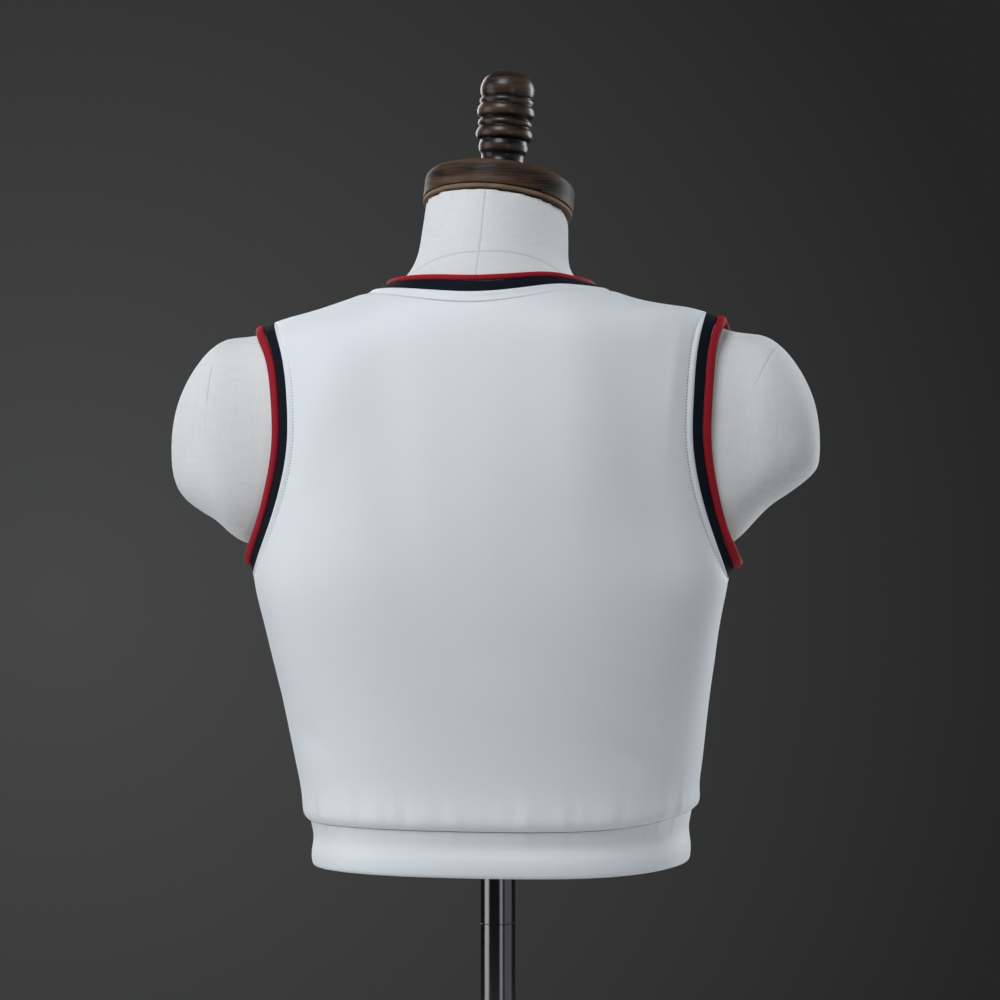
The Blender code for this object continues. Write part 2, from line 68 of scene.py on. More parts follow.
# The hem band is drawn in below its seam, most of all at one place of the back: depth,
# the least share of it, the place's angle and reach round, and its row and reach in rows.
HOLLOW_DEPTH, HOLLOW_LEAST = 2.3, 0.35
HOLLOW_ANGLE, HOLLOW_ROUND, HOLLOW_ROW, HOLLOW_ROWS = 1.95, 0.6, 0.66, 0.2
HEM_GATHER = 0.5
HEM_RIDE_UP, HEM_RIDE_ROWS = 9.0, 1.2  # the hem seam rides up on the wearer's right
SHOULDER_LEAN, SHOULDER_LEAN_ROWS = 0.014, 1.5
BACK_ARM_CUT, FRONT_ARM_CUT, ARM_CUT_SKEW = 0.25, 0.30, 1.15
FRONT_SCOOP, SCOOP_FROM_ROW = 4.1, 3.0  # rows by which the front neckline drops
# Rises of the back neckline: angle round the ring, reach, and height in rows.
NECK_RISES = ((2.32, 0.36, 0.22), (1.52, 0.30, -0.10), (0.70, 0.36, 0.06))
# The body's turned edge beside the rib, and its line of stitches: place from the cut
# edge, half width and height.
ROLL_PLACE, ROLL_WIDTH, ROLL_HEIGHT = 1.9, 1.9, 0.85
GROOVE_WIDTH, GROOVE_HEIGHT = 1.3, -0.40
SEAM_WIDTH, SEAM_HEIGHT = 1.6, -0.5
NECK_STITCH, ARM_STITCH = 8.2, 5.2
# Distances from its edges over which the body is let go into its soft folds.
SIDE_FREE, NECK_FREE, HEM_FREE = (2.0, 22.0), (2.0, 16.0), (4.0, 24.0)
# A panel's grid: about how wide it is, the fine part beside both edges and its step,
# and the number of even columns between.
PANEL_WIDTH, EDGE_NEAR, EDGE_STEP, PANEL_COLUMNS = 340.0, 8.0, 0.5, 110
STITCH_PITCH, STITCH_LENGTH = 2.3, 0.9

# Form
FORM_EASE = 2.25  # between the form and the cloth's inner face
FORM_UNDERSIDE = 5.0

# Rings of the figure at the cloth's outer face. half_width and side_z are the ring's
# farthest point to the side, at side_y; back and front are its points at the middle.
RING_COLUMNS = (
    "half_width", "side_y", "side_z", "back_y", "back_z", "front_y", "front_z",
    "roundness", "dip", "side_ease",
)
RINGS = np.array((
    (138.6, -12, 261, 87, 261, -110, 261, 2.3, 2, 0),  # 0 hem
    (140, -12, 295, 88, 295, -112, 295, 2.3, 2, 0),  # 1 hem seam
    (147, -5, 325, 91.5, 325, -112, 325, 2.3, 2, 0.5),
    (151.5, 5, 355, 97, 355, -110, 355, 2.3, 2, 1),
    (155.5, 14, 384, 103.5, 384, -108, 384, 2.3, 2, 2),
    (160.5, 24, 412, 110, 412, -108, 412, 2.3, 2, 3.5),
    (165.5, 34, 441, 117, 441, -108, 441, 2.25, 2, 6),
    (172.5, 38, 472, 123, 474, -107, 472, 2.2, 2, 10),  # 7 armhole bottom
    (178, 25, 515, 126.5, 511, -104, 508, 2.1, 2, 12),
    (188, 16, 565, 127, 547, -98, 544, 2.05, 2, 6),
    (194, 16, 611, 125, 584, -89, 576, 2, 2, 1),  # 10 mid shoulder
    (179, 26, 647, 121.5, 615, -78, 602, 2, 2, 0),
    (157, 38, 661, 118, 640, -66, 621, 2, 2, 0),  # 12 shoulder tip
    (132, 37, 666, 114.5, 655.5, -58, 634, 2, 2, 0),
    (107, 35, 672, 111, 666.5, -50, 643, 2, 2.4, 0),
    (83, 33, 680.5, 106.5, 676, -44, 651, 2, 3, 0),  # 15 neckline
    (65, 33, 690.5, 97.5, 690.5, -39, 659, 2, 2, 0),
    (58.5, 20, 703.5, 86, 705, -38, 672, 2, 1.5, 0),
    (57, 12, 719, 71.5, 727, -43, 697, 2, 1.1, 0),
    (55.5, 3, 739.6, 58.5, 754, -52.5, 725.2, 2, 1, 0),  # 19 neck top
))
SEAM_ROW, ARM_LOW_ROW, ARM_TOP_ROW, NECKLINE_ROW = 1.0, 7.0, 12.0, 15.0
LAST_ROW = len(RINGS) - 1
HEM_RISE, SEAM_RISE = np.diff(RINGS[:3, 2])  # height of the rows below and over the seam
RING_SOFTNESS = 0.8  # rows over which neighbouring rings are blended

# Shoulder caps of the form, as upright sections: x, top and bottom z, front and back y,
# power of the lower half, share of the turn, and lift of the right cap's bottom.
SHOULDER_CAP = np.array((
    (120, 635, 516, -14, 70, 2.2, 1, 0),
    (140, 644, 506, -20, 75, 2.2, 1, 0),
    (157, 649, 497, -23, 73, 2.2, 1, 0),
    (172, 649.8, 493, -24, 73, 2.3, 1, 0),
    (180, 649.6, 494.5, -25, 73, 2.6, 0.9, 7),
    (187, 649.4, 499.5, -26, 73, 3, 0.7, 11),
    (199.5, 646, 512, -27, 72, 3.2, 0.4, 12),
    (213, 635.5, 519.5, -22, 66, 3.2, 0.1, 13.5),
    (225, 618.5, 527.5, -13, 58, 3, 0, 14),
    (233, 600, 536.5, -2, 48, 2.6, 0, 12),
    (236.6, 581, 547, 10, 38, 2.2, 0, 7),
))
CAP_UPPER_POWER = 2.2
CAP_TURN = 6.0
CAP_ROOT = (172.0, 17.0)  # where the linen is drawn smooth over the caps' roots
CAP_ROOT_ROUNDS = 70
FORM_VOXEL = 2.9

# Seams of the linen: the upright one at the back of the neck, the one that crosses it,
# falling from its highest point to the wearer's right and left, and the caps' darts.
UPRIGHT_SEAM_X = -0.8
CROSSING_TOP_X, CROSSING_TOP_Z, CROSSING_POWER = -8.0, 705.4, 2.6
CROSSING_FALL_RIGHT, CROSSING_FALL_LEFT = 0.00063, 0.00034
DART_HALF = 12.0
DARTS = (200.0, 613.0, 0.05), (202.0, 625.0, -0.44)  # left, right: x, z and slope
SEAM_LOST = 60.0  # how many times farther off a seam counts where it isn't sewn

# Neck cap, knob and stand
CAP_TILT = math.radians(14.5)  # forwards
CAP_LEAN = math.radians(3.6)  # to the wearer's right
NECK_LEAN_ROWS = (16.0, 19.0)
NECK_TOP = np.array((0.0, 3.0, 739.6))
STRIP_RADIUS, STRIP_HEIGHT = 54.6, 2.8
CAP_RADIUS, CAP_HEIGHT, CAP_CROWN = 55.0, 19.6, 3.4
BASE_RADIUS, BASE_HEIGHT, BASE_RIM = 160.0, 12.0, 2.4
POLE_RADIUS = 12.7
POLE_JOINT_Z = 219.6
FLANGE_RADIUS, FLANGE_HEIGHT = 36.0, 3.5
FORM_BOTTOM_Z = RINGS[0, 2] + FORM_UNDERSIDE
KNOB_TILT = math.radians(4.0)  # forwards: the knob stands straighter than the cap
WEAR_AND_SHADE_REACH = 5.0  # over which a ridge of the turning stands out; ridges are painted paler as wear, and grooves darker as painted shade
KNOB_FOOT = 15.5  # height over which its foot is sheared down to the cap's slope
# The knob's outline above the cap: height along its axis, and radius.
KNOB_PROFILE = (
    (0.0, 20.5), (2.5, 20.8), (5.2, 18.6), (8.0, 16.6), (12.0, 15.6), (15.5, 15.6),
    (17.2, 16.4), (19.0, 17.6), (22.5, 18.1), (25.6, 17.4), (26.7, 17.6), (28.2, 19.8),
    (30.9, 20.9), (34.2, 20.2), (36.4, 18.7), (37.3, 19.2), (39.1, 19.9), (41.1, 19.3),
    (42.3, 18.0), (43.6, 19.0), (45.5, 20.6), (48.2, 21.1), (51.0, 20.4), (52.9, 19.1),
    (54.0, 19.4), (55.6, 19.8), (57.2, 19.3), (58.3, 18.1), (59.8, 19.0), (62.5, 19.7),
    (66.0, 19.8), (70.0, 18.6), (73.5, 16.2), (76.2, 12.0), (77.5, 7.0), (77.9, 0.0),
)

# Soft forms in the cloth: x, z, half length, half width, lean of the long way from
# upright, and height out of the cloth.
BACK_FOLDS = (
    (-10, 560, 170, 150, 0, 2.4),  # a broad swell that the hollows cut into
    (100, 612, 46, 25, -22, 3.2),  # over the left shoulder blade
    (54, 560, 105, 21, 6, -2.4),  # hollow inside it
    (12, 545, 120, 30, 0, -1.8),  # hollow along the spine
    (-78, 580, 105, 25, 3, 3.0),  # over the right shoulder blade
    (-118, 560, 70, 18, 6, -1.6),  # and the hollow outside it
    (-122, 662, 36, 6, 84, 1.2),  # ridge along the right shoulder seam
    (-141, 610, 36, 6.5, -4, 1.3),  # ridge beside the right armhole
    (-134, 505, 34, 13, 24, -2.2),  # hollow under the right armhole
    (140, 520, 34, 12, -16, -1.2),  # and under the left one
    (124, 357, 15, 11, 30, -1.6),  # dents above the hem
    (-110, 346, 20, 13, 50, -1.7),
    (-20, 400, 60, 40, 80, 1.4),
)
FRONT_FOLDS = (
    (96, 560, 36, 32, 10, 2.0),
    (-96, 560, 36, 32, -10, 2.0),
    (0, 520, 70, 16, 0, -1.2),
    (118, 350, 18, 12, -30, -1.4),
    (-116, 354, 18, 12, 36, -1.4),
)

# Camera
CAMERA_DISTANCE = 2.5
CAMERA_AIM = (0.00146, 0.529)  # to its right of the pole, and up
CAMERA_AZIMUTH = math.radians(190.0)
CAMERA_LENS = 122.94

# Soft studio lamps: name, place, height that they face, size, power and colour.
LAMPS = (
    ("key_above", (0.38, 1.42, 2.18), 0.52, (1.0, 1.0), 30.0, (0.97, 0.985, 1.0)),
    ("tall_left", (1.41, 0.51, 0.60), 0.60, (0.92, 1.80), 10.8, (0.97, 0.985, 1.0)),
    ("wide_right", (-1.49, 0.18, 0.60), 0.60, (1.66, 1.80), 3.5, (0.94, 0.97, 1.0)),
    ("card_right", (-0.78, 1.28, 0.40), 0.50, (0.45, 1.20), 2.2, (0.95, 0.97, 1.0)),
    ("front_left", (1.30, -1.70, 1.20), 0.50, (1.0, 1.3), 16.0, (1.0, 0.99, 0.98)),
    ("front_right", (-1.50, -1.60, 1.00), 0.50, (1.0, 1.3), 28.0, (0.96, 0.98, 1.0)),
)
# The room's grey fades with the distance of a direction from its brightest one.
BRIGHT_SIDE = (0.298, -0.954, -0.029)
WALL_FADE = {"From Min": 0.0, "From Max": 0.287, "To Min": 0.063, "To Max": 0.0186}


# ---- figure

def through(before, start, end, after, t):
    """A smooth cubic from start to end as t goes from 0 to 1. Its slope at each is half
    the way between the points on both sides of it."""
    rise, fall = (end - before) / 2, (after - start) / 2
    bend, turn = 3 * (end - start) - 2 * rise - fall, rise + fall - 2 * (end - start)
    return start + t * rise + t**2 * bend + t**3 * turn


def ring_table(row):
    """The ring table at any row, by a smooth cubic through its rows, carried on past
    both ends by turning it about the end row."""
    row = np.asarray(row, float)
    inside = np.clip(row, 0.0, LAST_ROW)
    mirrored = np.clip(2 * inside - row, 0.0, LAST_ROW)

    def table(at):
        low = np.minimum(at.astype(int), LAST_ROW - 1)
        near = [RINGS[np.clip(low + k, 0, LAST_ROW)] for k in (-1, 0, 1, 2)]
        return through(*near, (at - low)[..., None])

    beyond = (row != inside)[..., None]
    return np.where(beyond, 2 * table(inside) - table(mirrored), table(inside))


def rings_at(row):
    """The ring table blended with its near neighbours by a tent of weights."""
    row = np.asarray(row, float)
    steps = np.linspace(-1, 1, 9)[1:-1]
    weights = (1 - np.abs(steps)) / np.sum(1 - np.abs(steps))
    values = sum(w * ring_table(row + RING_SOFTNESS * s) for w, s in zip(weights, steps))
    return dict(zip(RING_COLUMNS, np.moveaxis(values, -1, 0)))


def signed_power(value, power):
    return np.sign(value) * np.abs(value) ** power


def step(value, start, end):
    """A smooth rise from 0 at start to 1 at end."""
    share = np.clip((value - start) / (end - start), 0.0, 1.0)
    return share**2 * (3 - 2 * share)


def bell(value, reach):
    """A bell curve: 1 at zero, fallen to about a third at reach."""
    return np.exp(-((value / reach) ** 2))


def unit(vectors):
    return vectors / np.linalg.norm(vectors, axis=-1, keepdims=True)


def ring_point(phi, row):
    """A point of the figure: a rounded outline in plan whose back and front halves have
    their own depth, and whose height goes from the side to the middle of each."""
    ring = rings_at(row)
    cos, sin = np.cos(phi), np.sin(phi)
    power = 2.0 / ring["roundness"]
    back = sin >= 0
    middle_y = np.where(back, ring["back_y"], ring["front_y"])
    middle_z = np.where(back, ring["back_z"], ring["front_z"])
    across = np.abs(sin) ** power
    x = ring["half_width"] * signed_power(cos, power)
    y = ring["side_y"] + (middle_y - ring["side_y"]) * across
    z = ring["side_z"] + (middle_z - ring["side_z"]) * np.abs(sin) ** ring["dip"]
    start, end = NECK_LEAN_ROWS
    z = z + x * math.tan(CAP_LEAN) * np.clip((row - start) / (end - start), 0.0, 1.0)
    z = z - x * SHOULDER_LEAN * bell(row - ARM_TOP_ROW, SHOULDER_LEAN_ROWS)
    ride = HEM_RIDE_UP * bell(row - SEAM_ROW, HEM_RIDE_ROWS)
    z = z + ride * np.maximum(-cos, 0.0) ** 4
    return np.stack(np.broadcast_arrays(x, y, z), axis=-1)


def skin_normal(phi, row, near=0.02):
    """The outward direction, from the surface's slopes round the ring and up the stack."""
    low = np.clip(row - near, 0.0, LAST_ROW)
    high = np.clip(row + near, 0.0, LAST_ROW)
    round_ring = ring_point(phi + near, row) - ring_point(phi - near, row)
    up_stack = ring_point(phi, high) - ring_point(phi, low)
    return unit(np.cross(round_ring, up_stack))


def skin(phi, row, out=0.0):
    """The figure's surface, moved outwards by out."""
    phi, row, out = np.broadcast_arrays(np.asarray(phi, float), row, out)
    return ring_point(phi, row) + skin_normal(phi, row) * out[..., None]


def pucker(phi):
    """Gathering of the cloth round the hem seam: a few sine waves added together."""
    return sum(np.sin(count * phi + start) for count, start in PUCKERS) / len(PUCKERS)


def puff(phi, row):
    """How far the body stands out above the hem seam: up quickly, then dying away."""
    height = np.maximum(row - SEAM_ROW, 0.0) * SEAM_RISE / PUFF_REACH
    uneven = 1.0 + PUCKER_SHARE * pucker(phi)
    return PUFF_HEIGHT * height * np.exp(1.0 - height) * uneven


def arm_angle(row, front):
    """How far round the ring the armhole's edge lies from the side seam."""
    share = np.clip((row - ARM_LOW_ROW) / (ARM_TOP_ROW - ARM_LOW_ROW), 0.0, 1.0)
    cut = FRONT_ARM_CUT if front else BACK_ARM_CUT
    kept = 1.0 - cut * np.sin(math.pi * share**ARM_CUT_SKEW)
    return np.arccos(np.clip(kept, -1.0, 1.0) ** (rings_at(row)["roundness"] / 2))


def scoop_drop(phi, row):
    """How many rows the front is drawn down towards its round scoop: none at the sides
    and the back, and all of it at the neckline's middle."""
    sin = np.sin(phi - TWIST)
    drawn = FRONT_SCOOP * step(row, SCOOP_FROM_ROW, NECKLINE_ROW)
    return np.where(sin < 0, drawn * sin**2, 0.0)


def neck_rise(phi, row):
    """How far the neckline's rows rise at the wearer's right of the back, and sink at
    its middle: a sum of bell curves, fading out down the shoulder."""
    around = phi - TWIST
    shift = sum(rise * bell(around - angle, reach) for angle, reach, rise in NECK_RISES)
    return shift * step(row, ARM_TOP_ROW, NECKLINE_ROW)


def armhole_rows(count):
    """Rows up an armhole, close at both ends, where its edge turns quickly."""
    turns = (1 - np.cos(np.linspace(0, math.pi, count + 1))) / 2
    return ARM_LOW_ROW + (ARM_TOP_ROW - ARM_LOW_ROW) * turns


# ---- meshes

def link(name, mesh, material):
    made = bpy.data.objects.new(name, mesh)
    mesh.materials.append(material)
    bpy.context.scene.collection.objects.link(made)
    return made


def quad_mesh(name, points, quads, uv=None, smooth_angle=40.0):
    """A mesh from whole arrays of points, quads and their corners' UV places, turned
    inside out if its volume comes out negative."""
    corners = points[quads]
    halves = np.concatenate((corners[:, (0, 1, 2)], corners[:, (0, 2, 3)]))
    if np.linalg.det(halves).sum() < 0:
        quads = quads[:, ::-1]
        uv = None if uv is None else uv[:, ::-1]
    mesh = bpy.data.meshes.new(name)
    mesh.from_pydata((points * MM).tolist(), [], quads.tolist())
    if uv is not None:
        layer = mesh.uv_layers.new(name="cloth")
        layer.data.foreach_set("uv", (uv * MM).astype(np.float32).ravel())
    mesh.validate()
    mesh.shade_smooth()
    mesh.set_sharp_from_angle(angle=math.radians(smooth_angle))
    return mesh


def grid_quads(rows, columns, wrap_rows=False, wrap_columns=False):
    """Quads between neighbours of a grid counted row by row, and the same quads on its
    UV places, which run on past a closed side instead of back to its start."""
    i, j = np.meshgrid(
        np.arange(rows if wrap_rows else rows - 1),
        np.arange(columns if wrap_columns else columns - 1),
        indexing="ij",
    )
    around = ((i, j), (i, j + 1), (i + 1, j + 1), (i + 1, j))
    points = [(a % rows) * columns + b % columns for a, b in around]
    wide = columns + bool(wrap_columns)
    places = [a * wide + b for a, b in around]
    return np.stack(points, -1).reshape(-1, 4), np.stack(places, -1).reshape(-1, 4)


def run_length(points, axis, closed=False):
    """Distance along a grid's lines, in the grid's shape, with one place more where the
    lines close on themselves."""
    points = np.moveaxis(points, axis, 0)
    if closed:
        points = np.concatenate((points, points[:1]))
    steps = np.linalg.norm(np.diff(points, axis=0), axis=-1)
    total = np.concatenate((np.zeros_like(steps[:1]), np.cumsum(steps, axis=0)))
    return np.moveaxis(total, 0, axis)


def wall(name, outer, inner, uv, material):
    """A cloth wall between two grids of the same size, closed round its four edges."""
    rows, columns = outer.shape[:2]
    count = rows * columns
    index = np.arange(count).reshape(rows, columns)
    sides = index[0, :-1], index[:-1, -1], index[-1, :0:-1], index[:0:-1, 0]
    edge = np.concatenate(sides)
    after = np.roll(edge, -1)
    faces, _ = grid_quads(rows, columns)
    rim = np.stack((edge, edge + count, after + count, after), -1)
    quads = np.concatenate((faces, faces[:, ::-1] + count, rim))
    places = np.concatenate((uv.reshape(-1, 2), uv.reshape(-1, 2)))
    points = np.concatenate((outer.reshape(-1, 3), inner.reshape(-1, 3)))
    return link(name, quad_mesh(name, points, quads, places[quads]), material)


def ring_of_sections(name, sections, material):
    """A closed ring of closed outlines. U runs along the ring and V round the outline."""
    count, points = sections.shape[:2]
    quads, places = grid_quads(count, points, True, True)
    along = run_length(sections.mean(axis=1), 0, closed=True)
    across = run_length(sections[0], 0, closed=True)
    uv = np.stack(np.meshgrid(along, across, indexing="ij"), -1).reshape(-1, 2)
    mesh = quad_mesh(name, sections.reshape(-1, 3), quads, uv[places], 50.0)
    return link(name, mesh, material)


def turned(name, profile, material, steps=160, tilt=None, foot=None, foot_slope=0.0):
    """A turned solid. The profile's radius and height run down its outer side, each
    point carried round the axis, and a tiny middle ring at each end is closed with
    quads. A tilted one leans forwards by tilt and to the wearer's right from its foot.
    The lowest rings, up to KNOB_FOOT, are sheared by foot_slope."""
    profile = np.array(profile, float)
    profile[:, 0] = np.maximum(profile[:, 0], 0.01)
    turn = np.linspace(0.0, 2 * math.pi, steps, endpoint=False)
    radius, height = profile[:, 0, None], profile[:, 1, None]
    x, y = radius * np.cos(turn), radius * np.sin(turn)
    sheared = math.tan(foot_slope) * np.clip(1.0 - height / KNOB_FOOT, 0.0, 1.0)
    points = np.stack(np.broadcast_arrays(x, y, height + y * sheared), -1).reshape(-1, 3)
    if tilt is not None:
        points = points @ tilt_matrix(tilt).T + foot
    quads, _ = grid_quads(len(profile), steps, False, True)
    k = np.arange(steps // 2 - 1)
    end = np.stack((k, k + 1, (-k - 2) % steps, (-k - 1) % steps), -1)
    last = (len(profile) - 1) * steps
    quads = np.concatenate((quads, end[:, ::-1], end + last))
    mesh = quad_mesh(name, points, quads, smooth_angle=35.0)
    # Each point's height over the smoothed profile: the wood paints its ridges paler as
    # wear and its grooves darker as painted shade.
    wear = mesh.attributes.new("wear", "FLOAT", "POINT")
    worn = np.repeat(prominence(profile), steps)
    wear.data.foreach_set("value", worn.astype(np.float32))
    return link(name, mesh, material)


def prominence(profile):
    """How far each point of a turned profile stands out of the profile smoothed by a
    bell of weights along its length."""
    steps = np.linalg.norm(np.diff(profile, axis=0), axis=-1)
    place = np.concatenate(((0.0,), np.cumsum(steps)))
    share = bell(place[:, None] - place, WEAR_AND_SHADE_REACH) * np.gradient(place)
    return profile[:, 0] - share @ profile[:, 0] / share.sum(axis=1)


def disc(radius, low, high, softened):
    """The profile of a flat round piece or a rod, its two edges cut off by softened."""
    return (
        (0, high), (radius - softened, high), (radius, high - softened),
        (radius, low + softened), (radius - softened, low), (0, low),
    )


def tilt_matrix(tilt):
    """A turn forwards about X by tilt, then to the wearer's right by the cap's lean."""
    return np.array(Matrix.Rotation(-CAP_LEAN, 3, "Y") @ Matrix.Rotation(tilt, 3, "X"))


def smooth_curve(points, per_step):
    """A smooth cubic through a short table of points, per_step places to each step."""
    points = np.asarray(points, float)
    padded = np.concatenate((points[:1], points, points[-1:]))
    t = np.linspace(0.0, 1.0, per_step, endpoint=False)[None, :, None]
    curve = through(*(padded[k : len(points) - 1 + k, None] for k in range(4)), t)
    return np.concatenate((curve.reshape(-1, points.shape[1]), points[-1:]))


# ---- materials

class Finish:
    """A Principled material, its constant values set on the shader's own sockets, and
    small helpers that add and join its nodes."""

    def __init__(self, name, colour, roughness, **settings):
        self.material = bpy.data.materials.new(name)
        self.material.use_nodes = True
        self.tree = self.material.node_tree
        self.shader = self.tree.nodes["Principled BSDF"]
        self.shader.inputs["Base Color"].default_value = (*colour, 1.0)
        self.shader.inputs["Roughness"].default_value = roughness
        for key, value in settings.items():
            self.shader.inputs[key.replace("_", " ")].default_value = value

    def add(self, kind, inputs=(), **settings):
        node = self.tree.nodes.new(kind)
        for key, value in settings.items():
            setattr(node, key, value)
        for key, value in dict(inputs).items():
            if isinstance(value, bpy.types.NodeSocket):
                self.tree.links.new(value, node.inputs[key])
            else:
                node.inputs[key].default_value = value
        return node

    def place(self, stretch, source="Object"):
        source = self.add("ShaderNodeTexCoord").outputs[source]
        inputs = {"Vector": source, "Scale": stretch}
        return self.add("ShaderNodeMapping", inputs).outputs[0]

    def attribute(self, name, output):
        return self.add("ShaderNodeAttribute", attribute_name=name).outputs[output]

    def noise(self, scale, detail=3.0, roughness=0.5, stretch=(1, 1, 1)):
        inputs = {"Scale": scale, "Detail": detail, "Roughness": roughness}
        inputs["Vector"] = self.place(stretch)
        return self.add("ShaderNodeTexNoise", inputs).outputs["Fac"]

    def wave(self, place, scale, direction="X", distortion=0.0):
        inputs = {"Vector": place, "Scale": scale, "Distortion": distortion}
        node = self.add("ShaderNodeTexWave", inputs, bands_direction=direction)
        return node.outputs["Fac"]

    def math(self, operation, first, second=0.0):
        inputs = {0: first, 1: second}
        return self.add("ShaderNodeMath", inputs, operation=operation).outputs[0]

    def total(self, *shares):
        """The sum of several values, each times its share."""
        total, *others = (self.math("MULTIPLY", *pair) for pair in shares)
        for other in others:
            total = self.math("ADD", total, other)
        return total

    def ramp(self, value, *stops):
        node = self.add("ShaderNodeValToRGB", {"Fac": value})
        for element, (position, colour) in zip(node.color_ramp.elements, stops):
            element.position = position
            element.color = (*colour, 1.0)
        return node.outputs["Color"]

    def spread(self, value, low, high, start=0.0, end=1.0):
        """Carries the range from start to end over to low to high."""
        inputs = {"Value": value, 1: start, 2: end, 3: low, 4: high}
        return self.add("ShaderNodeMapRange", inputs).outputs[0]

    def bump(self, height, strength, distance, **normal):
        inputs = {"Height": height, "Strength": strength, "Distance": distance, **normal}
        return self.add("ShaderNodeBump", inputs).outputs[0]

    def set(self, socket, value):
        self.tree.links.new(value, self.shader.inputs[socket])


def white_knit():
    """Smooth stretch knit: fine upright wales crossed by rows of loops, faint clouds in
    the white, and a soft sheen."""
    sheen = {"Sheen_Weight": 0.12, "Sheen_Roughness": 0.45}
    knit = Finish("white_knit", (0.80, 0.83, 0.86), 0.55, **sheen)
    cloth = knit.place((1, 1, 1), "UV")
    clouds = knit.noise(9.0, 4.0)
    whites = (0.3, (0.768, 0.82, 0.866)), (0.7, (0.792, 0.84, 0.882))
    knit.set("Base Color", knit.ramp(clouds, *whites))
    loops = knit.math("MULTIPLY", knit.wave(cloth, 420.0), knit.wave(cloth, 560.0, "Y"))
    fine = knit.bump(loops, 0.16, 0.00012)
    slub = knit.noise(260.0, 2.0, stretch=(1, 1, 0.4))
    knit.set("Normal", knit.bump(slub, 0.08, 0.0003, Normal=fine))
    knit.set("Roughness", knit.spread(clouds, 0.50, 0.62))
    return knit.material


def rib_knit(name, dark, light, roughness, gloss):
    """Rib knit: close cords across the band's length, with painted shade between the cords,
    and short loops along each cord."""
    rib = Finish(name, light, roughness, Specular_IOR_Level=gloss)
    cloth = rib.place((1, 1, 1), "UV")
    cords = rib.wave(cloth, 260.0)
    loops = rib.wave(cloth, 420.0, "Y")
    wear = rib.noise(70.0)
    tone = rib.math("MULTIPLY", cords, rib.spread(wear, 0.7, 1.1))
    # The dark colour is painted shade between the cords; the noise varies the cords' tone
    # at random.
    rib.set("Base Color", rib.ramp(tone, (0.1, dark), (0.8, light)))
    rib.set("Normal", rib.bump(rib.total((cords, 1.0), (loops, 0.35)), 0.32, 0.0003))
    rib.set("Roughness", rib.spread(wear, roughness - 0.05, roughness + 0.08))
    return rib.material


def stitch_painted_shade():
    """Thread of the stitches, sunk in the cloth, coloured dark grey as painted shade for
    the shadows in their holes.
    """
    thread = Finish("stitch_painted_shade", (0.08, 0.09, 0.10), 0.8)
    twist = thread.noise(900.0, 2.0)
    greys = (0.3, (0.05, 0.055, 0.065)), (0.7, (0.11, 0.12, 0.135))
    thread.set("Base Color", thread.ramp(twist, *greys))
    thread.set("Normal", thread.bump(twist, 0.4, 0.0002))
    return thread.material


def linen():
    """Close linen over the form: crossed threads of uneven thickness, pale slubs, and
    the seams, each a fine dark line in a shallow ditch."""
    weave = Finish("linen", (0.79, 0.79, 0.775), 0.9, Sheen_Weight=0.1)
    warp = weave.wave(weave.place((1, 0.6, 0)), 300.0, "X", 0.6)
    weft = weave.wave(weave.place((1, 1, 1)), 300.0, "Z", 0.6)
    slubs = weave.noise(60.0, 4.0, stretch=(1, 1, 9))
    streaks = weave.noise(55.0, 4.0, stretch=(7, 7, 1))
    uneven = weave.total((slubs, 0.5), (streaks, 0.5))
    cloth = weave.ramp(uneven, (0.34, (0.728, 0.746, 0.757)), (0.66, (0.776, 0.79, 0.798)))
    seams = weave.attribute("seams", "Vector")
    apart = weave.add("ShaderNodeSeparateXYZ", {0: seams}).outputs
    near = [weave.math("ABSOLUTE", distance) for distance in apart]
    closest = weave.math("MINIMUM", weave.math("MINIMUM", near[0], near[1]), near[2])
    line = weave.spread(closest, 0.45, 0.0, 0.0001, 0.0008)
    shades = {0: line, 6: cloth, 7: (0.40, 0.39, 0.38, 1.0)}
    shadowed = weave.add("ShaderNodeMix", shades, data_type="RGBA")
    weave.set("Base Color", shadowed.outputs[2])
    threads = weave.bump(weave.math("ADD", warp, weft), 0.35, 0.0002)
    swells = weave.bump(uneven, 0.12, 0.0005, Normal=threads)
    ditch = weave.spread(closest, 0.0, 1.0, 0.0, 0.0018)
    weave.set("Normal", weave.bump(ditch, 0.35, 0.0008, Normal=swells))
    return weave.material


def stained_wood(name, dark, light, roughness, coat, gloss, stretch):
    """Turned wood: worn streaks of grain round the turning, broken by fine pores, paler on
    its ridges where they wear and dark in its grooves as painted shade, under a thin clear
    finish."""
    sheen = {"Coat_Weight": coat, "Coat_Roughness": 0.2, "Specular_IOR_Level": gloss}
    wood = Finish(name, light, roughness, **sheen)
    grain = wood.noise(38.0, 6.0, 0.62, stretch)
    pores = wood.noise(60.0, stretch=[4 * share for share in stretch])
    patches = wood.noise(26.0)
    # The wear attribute paints ridges paler as wear, and grooves darker as painted shade.
    wear = wood.attribute("wear", "Fac")
    tone = wood.total((grain, 0.6), (pores, 0.2), (patches, 0.2), (wear, 0.11))
    wood.set("Base Color", wood.ramp(tone, (0.47, dark), (0.69, light)))
    wood.set("Roughness", wood.spread(grain, roughness - 0.06, roughness + 0.12))
    wood.set("Normal", wood.bump(pores, 0.25, 0.0002))
    return wood.material


def polished_chrome():
    """Smoky chrome with faint drawn lines along the tube."""
    chrome = Finish("chrome", (0.15, 0.15, 0.155), 0.16, Metallic=1.0)
    lines = chrome.noise(900.0, 2.0, stretch=(1, 1, 0.03))
    chrome.set("Roughness", chrome.spread(lines, 0.12, 0.22))
    return chrome.material


def painted_steel():
    """Dark satin paint with a fine orange-peel surface."""
    paint = Finish("painted_steel", (0.035, 0.035, 0.04), 0.42, Coat_Weight=0.2)
    peel = paint.noise(420.0, 2.0)
    paint.set("Normal", paint.bump(peel, 0.15, 0.0002))
    paint.set("Roughness", paint.spread(paint.noise(14.0), 0.36, 0.5))
    return paint.material


